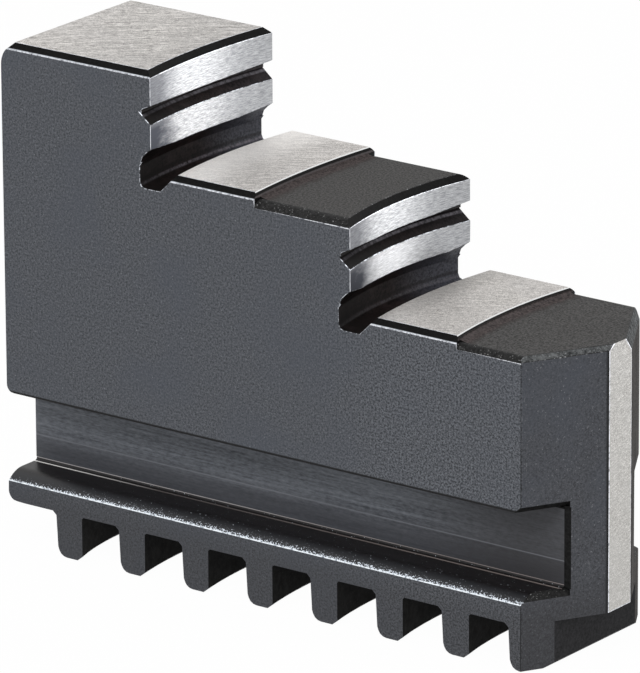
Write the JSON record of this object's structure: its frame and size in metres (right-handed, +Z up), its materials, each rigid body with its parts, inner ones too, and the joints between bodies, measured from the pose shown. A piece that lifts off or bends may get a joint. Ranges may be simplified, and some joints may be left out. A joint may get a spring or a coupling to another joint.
{
  "type": "stepped chuck jaw",
  "caption": "Hardened and ground stepped outside jaw for a scroll chuck, with hollow gripping faces, side guide slots and curved scroll teeth.",
  "frame": {"origin": "middle of the footprint, at the level of the tooth tips that the jaw stands on", "axes": "+X from the tall rear end to the pointed nose, towards the chuck centre; +Y across the jaw; +Z up from the scroll teeth to the steps"},
  "size_m": [0.0684, 0.02, 0.053],
  "materials": {
    "jaw": "black oxide, with bright ground working faces"
  },
  "bodies": {
    "root": {"jaw": "jaw"}
  },
  "joints": []
}
